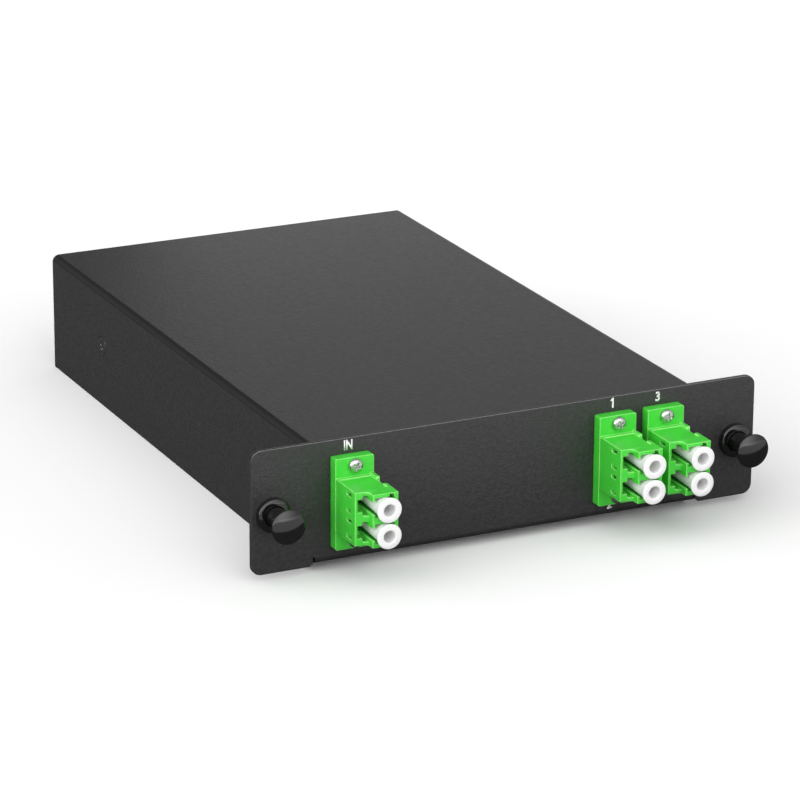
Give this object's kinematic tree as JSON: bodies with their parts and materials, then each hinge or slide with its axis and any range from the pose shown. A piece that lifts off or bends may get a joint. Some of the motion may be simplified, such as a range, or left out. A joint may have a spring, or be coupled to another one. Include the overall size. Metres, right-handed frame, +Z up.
{
  "type": "plc fibre splitter",
  "caption": "Flat folded-steel cassette with a wide front panel, push-pull latches in its ears and green duplex fibre adapters closed by white dust caps.",
  "frame": {"origin": "the middle of the panel's rear face, the face that seats on the rack", "axes": "+X along the panel to the viewer's right when facing its front, +Y from the panel to the rear of the box, +Z up"},
  "size_m": [0.13, 0.1805, 0.0317],
  "materials": {
    "coated_steel": "fine-textured black powder coat, satin to matte",
    "black_screw": "black-coated steel, satin",
    "latch_plastic": "glossy black nylon",
    "adapter_plastic": "moulded plastic, bright green, slightly glossy",
    "cap_plastic": "milky, slightly translucent soft plastic",
    "bright_screw": "bright plated steel",
    "zirconia": "polished white ceramic",
    "boot_rubber": "soft black rubber, matte",
    "module_steel": "thin steel shell, satin",
    "pad_foam": "dark adhesive foam",
    "lead_jacket": "smooth yellow jacket",
    "clip_plastic": "moulded natural plastic"
  },
  "bodies": {
    "case": {"chassis_tray": "coated_steel", "top_cover": "coated_steel", "cover_screws": "black_screw", "grommet_left": "latch_plastic", "grommet_right": "latch_plastic", "adapter_in_front": "adapter_plastic", "adapter_in_rear": "adapter_plastic", "adapter_in_screws": "bright_screw", "adapter_in_nuts": "bright_screw", "adapter_12_front": "adapter_plastic", "adapter_12_rear": "adapter_plastic", "adapter_12_screws": "bright_screw", "adapter_12_nuts": "bright_screw", "adapter_34_front": "adapter_plastic", "adapter_34_rear": "adapter_plastic", "adapter_34_screws": "bright_screw", "adapter_34_nuts": "bright_screw", "sleeve_in": "zirconia", "sleeve_spare": "zirconia", "sleeve_1": "zirconia", "sleeve_2": "zirconia", "sleeve_3": "zirconia", "sleeve_4": "zirconia", "plug_in_housing": "adapter_plastic", "plug_in_ferrule": "zirconia", "plug_in_boot": "boot_rubber", "plug_1_housing": "adapter_plastic", "plug_1_ferrule": "zirconia", "plug_1_boot": "boot_rubber", "plug_2_housing": "adapter_plastic", "plug_2_ferrule": "zirconia", "plug_2_boot": "boot_rubber", "plug_3_housing": "adapter_plastic", "plug_3_ferrule": "zirconia", "plug_3_boot": "boot_rubber", "plug_4_housing": "adapter_plastic", "plug_4_ferrule": "zirconia", "plug_4_boot": "boot_rubber", "splitter_module": "module_steel", "module_pad": "pad_foam", "module_input_boot": "boot_rubber", "module_output_boot": "boot_rubber", "lead_in": "lead_jacket", "lead_1": "lead_jacket", "lead_2": "lead_jacket", "lead_3": "lead_jacket", "lead_4": "lead_jacket", "rear_comb": "clip_plastic", "side_comb": "clip_plastic", "input_clip": "clip_plastic"},
    "plunger_left": {"plunger_left": "latch_plastic"},
    "plunger_right": {"plunger_right": "latch_plastic"},
    "dust_cap_in": {"dust_cap_in": "cap_plastic"},
    "dust_cap_spare": {"dust_cap_spare": "cap_plastic"},
    "dust_cap_1": {"dust_cap_1": "cap_plastic"},
    "dust_cap_2": {"dust_cap_2": "cap_plastic"},
    "dust_cap_3": {"dust_cap_3": "cap_plastic"},
    "dust_cap_4": {"dust_cap_4": "cap_plastic"}
  },
  "joints": [
    {"name": "plunger_left_push", "type": "slide", "parent": "case", "child": "plunger_left", "axis": [0, 1, 0], "range_m": [0, 0.0067]},
    {"name": "plunger_right_push", "type": "slide", "parent": "case", "child": "plunger_right", "axis": [0, 1, 0], "range_m": [0, 0.0067]},
    {"name": "dust_cap_in_pull", "type": "slide", "parent": "case", "child": "dust_cap_in", "axis": [0, -1, 0], "range_m": [0, 0.018]},
    {"name": "dust_cap_spare_pull", "type": "slide", "parent": "case", "child": "dust_cap_spare", "axis": [0, -1, 0], "range_m": [0, 0.018]},
    {"name": "dust_cap_1_pull", "type": "slide", "parent": "case", "child": "dust_cap_1", "axis": [0, -1, 0], "range_m": [0, 0.018]},
    {"name": "dust_cap_2_pull", "type": "slide", "parent": "case", "child": "dust_cap_2", "axis": [0, -1, 0], "range_m": [0, 0.018]},
    {"name": "dust_cap_3_pull", "type": "slide", "parent": "case", "child": "dust_cap_3", "axis": [0, -1, 0], "range_m": [0, 0.018]},
    {"name": "dust_cap_4_pull", "type": "slide", "parent": "case", "child": "dust_cap_4", "axis": [0, -1, 0], "range_m": [0, 0.018]}
  ]
}
